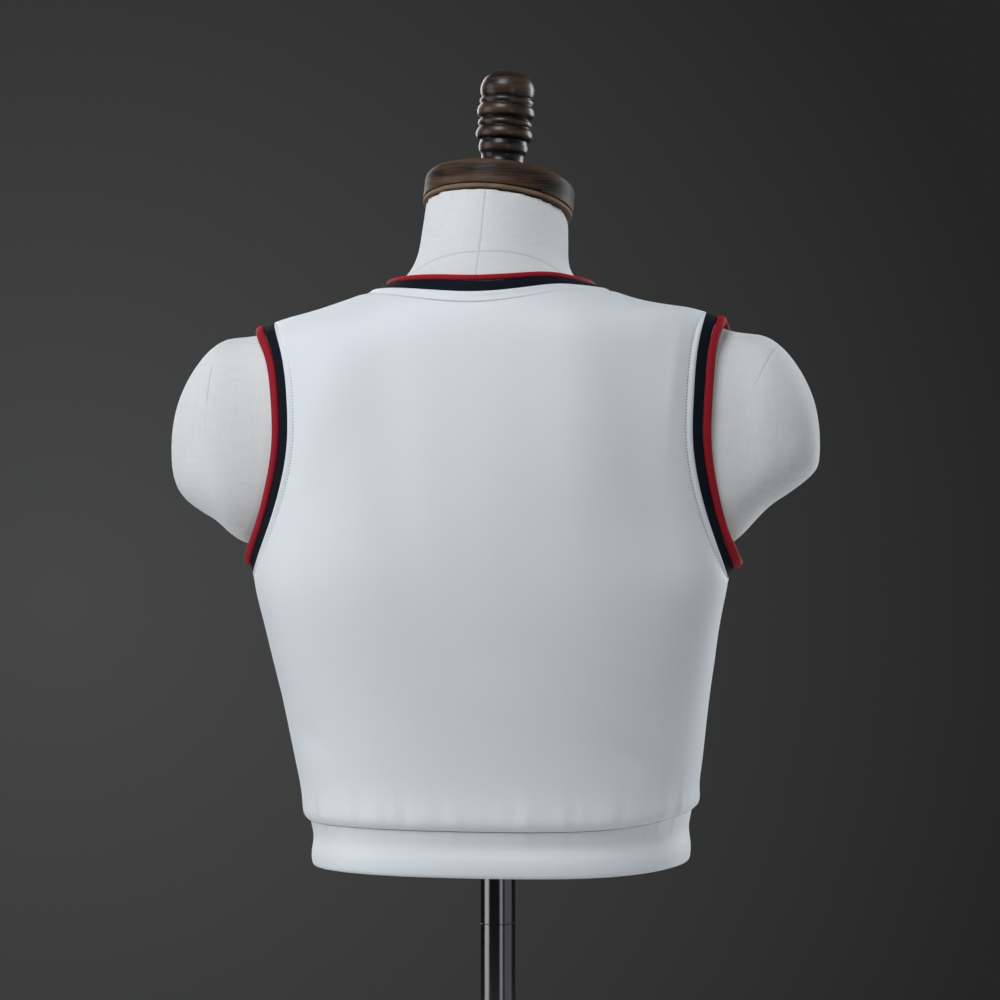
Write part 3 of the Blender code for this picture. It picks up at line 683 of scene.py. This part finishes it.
def make_materials():
    # Each rib pair: the painted shade between the cords, then the cords' own colour.
    navy = (0.0012, 0.0022, 0.0055), (0.0055, 0.0095, 0.020)
    red = (0.17, 0.003, 0.009), (0.46, 0.010, 0.028)
    stain = (0.005, 0.0035, 0.003), (0.082, 0.048, 0.030)
    worn = (0.008, 0.006, 0.005), (0.105, 0.063, 0.041)
    raw = (0.15, 0.095, 0.058), (0.31, 0.21, 0.14)
    return {
        "white_knit": white_knit(),
        # the stitches' thread, dark grey as painted shade
        "stitch_painted_shade": stitch_painted_shade(),
        "navy_rib": rib_knit("navy_rib", *navy, 0.8, 0.14),
        "red_rib": rib_knit("red_rib", *red, 0.72, 0.22),
        "linen": linen(),
        "knob_wood": stained_wood("knob_wood", *stain, 0.40, 0.26, 0.25, (0.25, 0.25, 3.2)),
        "cap_wood": stained_wood("cap_wood", *worn, 0.58, 0.04, 0.12, (0.22, 0.22, 3.6)),
        "tan_wood": stained_wood("tan_wood", *raw, 0.65, 0.0, 0.2, (0.4, 0.4, 2)),
        "chrome": polished_chrome(),
        "painted_steel": painted_steel(),
    }


# ---- cloth

def panel_columns():
    """Shares across a panel: fine steps beside both edges, and even ones between."""
    edge = np.arange(0.0, EDGE_NEAR, EDGE_STEP)
    middle = np.linspace(EDGE_NEAR, PANEL_WIDTH - EDGE_NEAR, PANEL_COLUMNS)
    return np.concatenate((edge, middle, PANEL_WIDTH - edge[::-1])) / PANEL_WIDTH


def panel_rows():
    """Rows of a panel at its side: close above the hem seam and below the neckline."""
    start = SEAM_ROW + GAP / SEAM_RISE
    puffed = start + PUFFED_ROWS * np.linspace(0.0, 1.0, 26)[:-1] ** 1.6
    body = np.linspace(start + PUFFED_ROWS, ARM_LOW_ROW, 56)[:-1]
    shoulder = ARM_TOP_ROW + (NECKLINE_ROW - ARM_TOP_ROW) * np.linspace(0, 1, 40)[1:] ** 0.7
    return np.concatenate((puffed, body, armhole_rows(96), shoulder))


def panel_grid(front, turn=0.01):
    """phi and row at each point of a panel, side to side by hem to neck. At the side
    seam it starts half a gap in, which a small turn measures as an angle."""
    rows = panel_rows()
    start = TWIST + (math.pi if front else 0.0)
    apart = np.linalg.norm(skin(start + turn, rows) - skin(start, rows), axis=-1)
    edge = np.maximum(arm_angle(rows, front), GAP / 2 * turn / apart)[:, None]
    phi = start + edge + (math.pi - 2 * edge) * panel_columns()
    rows = np.broadcast_to(rows[:, None], phi.shape)
    return phi, rows - scoop_drop(phi, rows) + neck_rise(phi, rows)


def folds(points, table):
    """Sum of soft oval hills and hollows, each fading from its height as a bell curve
    along and across its own lean."""
    x, z = points[..., 0], points[..., 2]
    total = np.zeros_like(x)
    for fold_x, fold_z, long, wide, lean, height in table:
        sin, cos = math.sin(math.radians(lean)), math.cos(math.radians(lean))
        along = (x - fold_x) * sin + (z - fold_z) * cos
        across = (x - fold_x) * cos - (z - fold_z) * sin
        total += height * bell(along, long) * bell(across, wide)
    return total


def edge_relief(distance, stitch):
    """The turned edge beside the rib: a full rounded roll of cloth, then the groove
    that the line of stitches draws at its own distance."""
    roll = ROLL_HEIGHT * bell(distance - ROLL_PLACE, ROLL_WIDTH)
    return roll + GROOVE_HEIGHT * bell(distance - stitch, GROOVE_WIDTH)


def make_panel(name, front, material):
    """A body panel: the figure's surface with the puff over the hem seam, soft folds,
    a rolled edge at the armholes and neck, and dips at the side and shoulder seams."""
    phi, row = panel_grid(front)
    base = skin(phi, row)
    normal = skin_normal(phi, row)
    from_left = run_length(base, 1)
    from_right = from_left[:, -1:] - from_left
    from_hem = run_length(base, 0)
    from_neck = from_hem[-1:] - from_hem
    side = np.minimum(from_left, from_right)
    rows = panel_rows()[:, None]
    in_arm = step(rows, ARM_LOW_ROW - 0.02, ARM_LOW_ROW + 0.1)
    in_arm = in_arm * (1 - step(rows, ARM_TOP_ROW - 0.1, ARM_TOP_ROW + 0.05))
    seam = SEAM_HEIGHT * bell(side, SEAM_WIDTH)
    relief = edge_relief(side, ARM_STITCH) * in_arm + seam * (1 - in_arm)
    relief = relief + edge_relief(from_neck, NECK_STITCH) * step(side, 0.0, 3.0)
    table = FRONT_FOLDS if front else BACK_FOLDS
    free = step(side, *SIDE_FREE) * step(from_neck, *NECK_FREE) * step(from_hem, *HEM_FREE)
    blouse = puff(phi, row)
    out = blouse + relief + folds(base, table) * free
    outer = base + normal * out[..., None]
    inner = base + normal * (np.minimum(blouse, out) - KNIT_WALL)[..., None]
    uv = np.stack((from_left - from_left[:, -1:] / 2, from_hem), -1)
    return wall(name, outer, inner, uv, material)


def make_hem(material):
    """The doubled hem band: one closed outline carried round the figure, tucked in at
    its seam, full below, and rolled under at its fold."""
    phi = np.linspace(0.0, 2 * math.pi, 480, endpoint=False)[:, None]
    seam = SEAM_ROW - GAP / HEM_RISE
    face = smooth_curve((
        (0.0, -1.8), (0.015, -0.9), (0.05, -0.15), (0.11, 0.35), (0.22, 0.6), (0.36, 0.4),
        (0.52, -0.2), (0.68, -0.5), (0.82, -0.55), (0.93, -0.5), (seam, -0.4),
    ), 5)
    back = (seam, -HEM_WALL - 1.0), (0.6, -HEM_WALL - 1.0), (0.1, -HEM_WALL)
    rows, out = np.concatenate((face, back)).T[:, None]
    spot = HOLLOW_LEAST + (1 - HOLLOW_LEAST) * bell(phi - HOLLOW_ANGLE, HOLLOW_ROUND)
    hollow = HOLLOW_DEPTH * spot * bell(rows - HOLLOW_ROW, HOLLOW_ROWS)
    gathered = HEM_GATHER * pucker(phi) * step(rows, 0.55, 0.98)
    sections = skin(phi, rows, out + (gathered - hollow) * (out > -HEM_WALL))
    return ring_of_sections("hem_band_cloth", sections, material)


def armhole_path(side, count=180):
    """phi and row round an armhole: up its back edge, then down its front one."""
    rise = armhole_rows(count)
    fall = rise[-2:0:-1]
    angle = np.concatenate((arm_angle(rise, False), -arm_angle(fall, True)))
    phi = TWIST + angle if side > 0 else math.pi + TWIST - angle
    rows = np.concatenate((rise, fall))
    return phi, rows - scoop_drop(phi, rows)


def neck_path(count=400):
    phi = TWIST + np.linspace(0.0, 2 * math.pi, count, endpoint=False)
    return phi, NECKLINE_ROW - scoop_drop(phi, NECKLINE_ROW) + neck_rise(phi, NECKLINE_ROW)


def arm_flare(rows):
    """How an armhole's rib stands away under the arm and lies flat above it."""
    return bell(rows - ARM_LOW_ROW, ARM_FLARE_ROWS)


def into_opening(line, normal):
    """At each point of a closed line, the way square to it along the cloth towards the
    opening that it runs round."""
    forward = unit(np.roll(line, -1, axis=0) - np.roll(line, 1, axis=0))
    inward = unit(np.cross(normal, forward))
    outwards = np.sum(inward * (line.mean(axis=0) - line)) < 0
    return -inward if outwards else inward


def band_sections(phi, rows, outline, flare):
    """Carries an outline along a path on the figure. Its first number runs from the
    panel's cut edge into the opening and its second out from it. The strip bends
    outwards across its width on an arc of curvature flare."""
    along, normal = skin(phi, rows), skin_normal(phi, rows)
    inward = into_opening(along, normal)
    across, out = outline.T[:, None]
    bend = across * np.broadcast_to(flare, phi.shape)[:, None]
    into = across * np.sinc(bend / math.pi) - out * np.sin(bend)
    up = across * np.sin(bend / 2) * np.sinc(bend / (2 * math.pi)) + out * np.cos(bend)
    moved = inward[:, None] * into[..., None] + normal[:, None] * up[..., None]
    return along[:, None] + moved


def navy_outline():
    """A flat rib strip, its face a little crowned and its long edges rounded."""
    middle, half = (NAVY_WIDTH + GAP) / 2, (NAVY_WIDTH - GAP) / 2
    across = np.linspace(GAP, NAVY_WIDTH, 15)
    crown = np.maximum(1 - ((across - middle) / half) ** 2, 0.0)
    face = np.stack((across, -0.55 + 0.75 * crown**0.4), -1)
    under = [(place, -RIB_WALL) for place in (NAVY_WIDTH, middle, GAP)]
    return np.concatenate((face, under))


def red_outline(width, points=18):
    """A rounded edge: an oval beside the navy strip."""
    turn = 2 * math.pi * np.arange(points) / points
    middle = NAVY_WIDTH + GAP + width / 2
    return np.stack(
        (middle + width / 2 * np.cos(turn), -0.4 + RED_HEIGHT / 2 * np.sin(turn)), -1
    )


def make_bands(materials):
    """The navy rib and the red edge round the neck and both armholes, as pairs."""
    left, right = armhole_path(1), armhole_path(-1)
    made = {}
    for naming, (phi, rows), flare, red_width in (
        ("neck_{}", neck_path(), NECK_BAND_FLARE, NECK_RED_WIDTH),
        ("armhole_{}_left", left, LEFT_BAND_FLARE * arm_flare(left[1]), ARM_RED_WIDTH),
        ("armhole_{}_right", right, RIGHT_BAND_FLARE * arm_flare(right[1]), ARM_RED_WIDTH),
    ):
        for kind, outline, material in (
            ("band", navy_outline(), "navy_rib"),
            ("edge", red_outline(red_width), "red_rib"),
        ):
            node = naming.format(kind)
            sections = band_sections(phi, rows, outline, flare)
            made[node] = ring_of_sections(f"{node}_cloth", sections, materials[material])
    return made


def stitches(name, phi, rows, inset, free, sunk, material):
    """Short threads at even steps along a closed line on the body, sunk in the cloth.
    Each is a six-sided bead with pointed ends."""
    line, normal = skin(phi, rows), skin_normal(phi, rows)
    line = line - into_opening(line, normal) * inset
    back = np.sin(phi - TWIST) >= 0
    raised = np.where(back, folds(line, BACK_FOLDS), folds(line, FRONT_FOLDS))
    raised = raised * step(inset, *free) + edge_relief(inset, inset) - sunk
    line = line + normal * raised[..., None]
    distance = run_length(line, 0, True)
    places = np.arange(0.0, distance[-1], STITCH_PITCH)

    def along_line(values, ahead=0.0):
        columns = np.concatenate((values, values[:1])).T
        return np.stack([np.interp(places + ahead, distance, c) for c in columns], -1)

    middle, up = along_line(line), unit(along_line(normal))
    along = unit(along_line(line, 0.5) - middle)
    reach = np.array((-1.0, -0.6, 0.0, 0.6, 1.0)) * STITCH_LENGTH / 2
    size = np.array((0.05, 0.46, 0.54, 0.46, 0.05))[:, None]
    turn = 2 * math.pi * np.arange(6) / 6
    axes = np.stack((along, np.cross(up, along), up), 1)
    bead = np.stack(np.broadcast_arrays(
        reach[:, None], size * np.cos(turn), size * np.sin(turn)
    ), -1)
    points = middle[:, None, None] + np.einsum("ijk,nkl->nijl", bead, axes)
    quads, _ = grid_quads(5, 6, False, True)
    ends = (3, 2, 1, 0), (5, 4, 3, 0), (24, 25, 26, 27), (24, 27, 28, 29)
    quads = np.concatenate((quads, ends))
    quads = quads + 30 * np.arange(len(places))[:, None, None]
    mesh = quad_mesh(name, points.reshape(-1, 3), quads.reshape(-1, 4))
    return link(name, mesh, material)


# ---- form

def cap_sections(side):
    """Upright sections of a shoulder cap: ovals whose upper and lower halves have their
    own power, from the table's rows joined by a smooth cubic."""
    table = smooth_curve(SHOULDER_CAP, 12).T[..., None]
    x, top_z, low_z, front_y, back_y, lower_power, turned_share, right_lift = table
    turn = np.linspace(0.0, 2 * math.pi, 96, endpoint=False)
    low_z = low_z + (right_lift if side < 0 else 0.0)
    middle_y = (front_y + back_y) / 2 + side * CAP_TURN * turned_share
    power = 2 / np.where(np.sin(turn) >= 0, CAP_UPPER_POWER, lower_power)
    y = middle_y + (back_y - front_y) / 2 * signed_power(np.cos(turn), power)
    z = (top_z + low_z) / 2 + (top_z - low_z) / 2 * signed_power(np.sin(turn), power)
    return np.stack(np.broadcast_arrays(side * x, y, z), -1)


def trunk_sections():
    """The trunk and neck: the figure moved inwards, more so at the sides."""
    phi = np.linspace(0.0, 2 * math.pi, 180, endpoint=False)[None, :]
    rows = np.linspace(FORM_UNDERSIDE / HEM_RISE, LAST_ROW, 150)[:, None]
    away = KNIT_WALL + FORM_EASE + rings_at(rows)["side_ease"] * np.cos(phi) ** 4
    sections = skin(phi, rows, -away)
    sections[0, :, 2] = FORM_BOTTOM_Z
    return sections


def relax(points, edges, share, rounds):
    """Moves each point towards the mean of its neighbours, share of the way each round."""
    size = len(points)
    ends, others = np.concatenate((edges, edges[:, ::-1])).T
    count = np.bincount(ends, minlength=size)
    for _ in range(rounds):
        mean = np.stack(
            [np.bincount(ends, axis[others], size) / count for axis in points.T], -1
        )
        points = points + (mean - points) * share[:, None]
    return points


def form_seams(points):
    """Signed distances to the linen's upright seam, crossing seam and darts. Away from
    its stretch each is multiplied up, so that its line thins away to nothing."""
    x, y, z = points.T
    upright = x - UPRIGHT_SEAM_X
    left = step(x, -14.0, -2.0)
    fall = CROSSING_FALL_RIGHT * (1 - left) + CROSSING_FALL_LEFT * left
    fall = fall * np.abs(x - CROSSING_TOP_X) ** CROSSING_POWER
    crossing = z - (CROSSING_TOP_Z - fall)
    place, middle, slope = np.where(x > 0, *(np.array(dart)[:, None] for dart in DARTS))
    past_end = np.maximum(np.abs(z - middle) - DART_HALF, 0.0)
    dart = (np.abs(x) - place - (middle - z) * slope) * (1 + past_end)
    in_front = SEAM_LOST * (1 - step(y, 5.0, 25.0))
    off_neck = in_front + SEAM_LOST * step(np.abs(x), 66.0, 80.0)
    seams = upright * (1 + off_neck), crossing * (1 + off_neck), dart * (1 + in_front)
    return np.stack(seams, -1)


def form_lofts():
    """The trunk and both shoulder caps in one mesh: closed outlines joined one to the
    next and capped at both ends."""
    points, faces, start = [], [], 0
    for sections in (trunk_sections(), cap_sections(1), cap_sections(-1)):
        count, around = sections.shape[:2]
        quads, _ = grid_quads(count, around, False, True)
        last = start + (count - 1) * around
        ends = [list(range(first, first + around)) for first in (start, last)]
        faces += (quads + start).tolist() + ends
        points += sections.reshape(-1, 3).tolist()
        start = len(points)
    mesh = bpy.data.meshes.new("form_linen")
    mesh.from_pydata((np.array(points) * MM).tolist(), [], faces)
    built = bmesh.new()
    built.from_mesh(mesh)
    bmesh.ops.recalc_face_normals(built, faces=built.faces)
    built.to_mesh(mesh)
    built.free()
    return mesh


def make_form(material):
    """The linen-covered form: its lofts merged by an even remesh, then relaxed, most of
    all at the caps' roots. Its underside and the flat top of its neck stay."""
    made = link("form_linen", form_lofts(), material)
    remesh = made.modifiers.new("even", "REMESH")
    remesh.mode = "VOXEL"
    remesh.voxel_size = FORM_VOXEL * MM
    depsgraph = bpy.context.evaluated_depsgraph_get()
    even = bpy.data.meshes.new_from_object(made.evaluated_get(depsgraph))
    made.modifiers.clear()
    made.data = even
    places = np.empty(len(even.vertices) * 3, np.float32)
    even.vertices.foreach_get("co", places)
    places = places.reshape(-1, 3) / MM
    edges = np.empty(len(even.edges) * 2, np.int32)
    even.edges.foreach_get("vertices", edges)
    edges = edges.reshape(-1, 2)
    side = np.abs(places[:, 0])
    above_neck = (places - NECK_TOP) @ tilt_matrix(CAP_TILT)[:, 2]
    free = (places[:, 2] >= FORM_BOTTOM_Z + 1.5) & (above_neck <= -2.0)
    root = bell(side - CAP_ROOT[0], CAP_ROOT[1])
    places = relax(places, edges, np.where(side > 100.0, 0.6, 0.35) * free, 6)
    places = relax(places, edges, 0.6 * root * free, CAP_ROOT_ROUNDS)
    even.vertices.foreach_set("co", (places * MM).astype(np.float32).ravel())
    seams = even.attributes.new("seams", "FLOAT_VECTOR", "POINT")
    seams.data.foreach_set("vector", (form_seams(places) * MM).astype(np.float32).ravel())
    even.update()
    even.shade_smooth()
    return made


# ---- wood and stand

def make_neck_cap(materials):
    """Strip, cap and knob, turned on one axis square to the sloping cut of the neck."""
    strip_end = GAP + STRIP_HEIGHT
    low = strip_end + GAP
    high = low + CAP_HEIGHT
    crown = high + CAP_CROWN
    radius = CAP_RADIUS
    cap = smooth_curve((
        (KNOB_PROFILE[0][1] - 2, crown), (34, crown - 0.8), (44, crown - 2.0),
        (radius - 4.0, high - 0.1), (radius - 1.3, high - 1.5), (radius - 0.2, high - 4.0),
        (radius, high - 7.0), (radius, low + 6.0), (radius, low + 1.4),
        (radius - 0.5, low + 0.3), (radius - 1.5, low),
    ), 6)
    cap = np.concatenate((((0, crown),), cap, ((0, low),)))
    outline = smooth_curve([(r, h) for h, r in KNOB_PROFILE], 5)[::-1]
    knob = np.concatenate((outline, ((0, 0),)))
    foot = tilt_matrix(CAP_TILT) @ (0.0, 0.0, crown + GAP) + NECK_TOP
    on_neck = {"tilt": CAP_TILT, "foot": NECK_TOP}
    on_cap = {"tilt": KNOB_TILT, "foot": foot, "foot_slope": CAP_TILT - KNOB_TILT}
    strip = disc(STRIP_RADIUS, GAP, strip_end, 0.4)
    return {
        "cap_strip": turned("cap_strip_wood", strip, materials["tan_wood"], **on_neck),
        "neck_cap": turned("neck_cap_wood", cap, materials["cap_wood"], **on_neck),
        "finial": turned("finial_wood", knob, materials["knob_wood"], **on_cap),
    }


def make_stand(materials):
    """Base plate, pole in two lengths with a fine joint between them, and the flange
    under the form, each with softened edges."""
    flange_top = FORM_BOTTOM_Z - GAP
    flange_low = flange_top - FLANGE_HEIGHT
    corner = np.linspace(0.0, math.pi / 2, 9)
    rim = np.stack((np.sin(corner), np.cos(corner)), -1) * BASE_RIM
    rim = rim + (BASE_RADIUS - BASE_RIM, BASE_HEIGHT - BASE_RIM)
    base = np.concatenate((
        ((0, BASE_HEIGHT), (POLE_RADIUS + 3, BASE_HEIGHT)), rim,
        ((BASE_RADIUS, 0.8), (BASE_RADIUS - 0.8, 0.0), (0, 0.0)),
    ))
    flange = disc(FLANGE_RADIUS, flange_low, flange_top, 0.6)
    lower = disc(POLE_RADIUS, BASE_HEIGHT + GAP, POLE_JOINT_Z - GAP / 2, 0.12)
    upper = disc(POLE_RADIUS, POLE_JOINT_Z + GAP / 2, flange_low - GAP, 0.12)
    chrome = materials["chrome"]
    return {
        "base_plate": turned("base_plate_steel", base, materials["painted_steel"]),
        "mount_flange": turned("mount_flange_chrome", flange, chrome),
        "pole_lower": turned("pole_lower_chrome", lower, chrome),
        "pole_upper": turned("pole_upper_chrome", upper, chrome),
    }


# ---- room

def aimed(name, data, place, aim):
    """An object at a place, turned so that it looks at its aim."""
    made = bpy.data.objects.new(name, data)
    made.location = place
    made.rotation_euler = (Vector(aim) - Vector(place)).to_track_quat("-Z", "Y").to_euler()
    bpy.context.scene.collection.objects.link(made)
    return made


def make_camera():
    """The camera, at the photograph's angle and distance."""
    data = bpy.data.cameras.new("photo_camera")
    data.lens = CAMERA_LENS
    data.sensor_width = 36.0
    cos, sin = math.cos(CAMERA_AZIMUTH), math.sin(CAMERA_AZIMUTH)
    beside, height = CAMERA_AIM
    aim = Vector((beside * cos, beside * sin, height))
    place = aim + Vector((sin, -cos, 0.0)) * CAMERA_DISTANCE
    bpy.context.scene.camera = aimed("photo_camera", data, place, aim)
    bpy.context.scene.view_settings.view_transform = "Standard"


def make_lamps():
    for name, place, aim_z, size, power, colour in LAMPS:
        data = bpy.data.lights.new(name, "AREA")
        data.shape = "RECTANGLE"
        data.size, data.size_y = size
        data.energy = power
        data.color = colour
        aimed(name, data, place, (0.0, 0.0, aim_z)).visible_camera = False


def make_room():
    """A round pale floor under the stand, and a plain dark grey room around it."""
    profile = ((0, -GAP), (880, -GAP), (900, -6), (900, -20), (0, -20))
    paper = Finish("floor_paper", (0.62, 0.62, 0.61), 0.85)
    greys = (0.3, (0.60, 0.60, 0.59)), (0.7, (0.66, 0.66, 0.65))
    paper.set("Base Color", paper.ramp(paper.noise(6.0), *greys))
    turned("floor", profile, paper.material, 128)
    world = bpy.data.worlds.new("studio")
    bpy.context.scene.world = world
    world.use_nodes = True
    nodes, join = world.node_tree.nodes, world.node_tree.links.new
    away = nodes.new("ShaderNodeVectorMath")
    away.operation = "DISTANCE"
    join(nodes.new("ShaderNodeTexCoord").outputs["Generated"], away.inputs[0])
    away.inputs[1].default_value = BRIGHT_SIDE
    fade = nodes.new("ShaderNodeMapRange")
    join(away.outputs["Value"], fade.inputs["Value"])
    for key, value in WALL_FADE.items():
        fade.inputs[key].default_value = value
    join(fade.outputs[0], nodes["Background"].inputs["Strength"])
    nodes["Background"].inputs["Color"].default_value = (0.985, 1.0, 1.015, 1.0)


# ---- assembly

def carry(piece, node):
    """Sets a piece on the frame in place of its CAD node."""
    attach(piece, "root")
    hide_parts(node)
    return piece


def main():
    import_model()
    materials = make_materials()
    make_camera()

    white = materials["white_knit"]
    back = carry(make_panel("back_panel_cloth", False, white), "back_panel")
    front = carry(make_panel("front_panel_cloth", True, white), "front_panel")
    hem = carry(make_hem(white), "hem_band")
    bands = make_bands(materials)
    for node, piece in bands.items():
        carry(piece, node)
    form = carry(make_form(materials["linen"]), "form_body")
    for node, piece in make_neck_cap(materials).items():
        carry(piece, node)
    for node, piece in make_stand(materials).items():
        carry(piece, node)

    for name, (phi, rows), inset, free, sunk in (
        ("neck_stitches", neck_path(), NECK_STITCH, NECK_FREE, 0.05),
        ("armhole_stitches_left", armhole_path(1), ARM_STITCH, SIDE_FREE, 0.22),
        ("armhole_stitches_right", armhole_path(-1), ARM_STITCH, SIDE_FREE, 0.22),
    ):
        piece = stitches(name, phi, rows, inset, free, sunk, materials["stitch_painted_shade"])
        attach(piece, "root")

    make_lamps()
    make_room()


main()
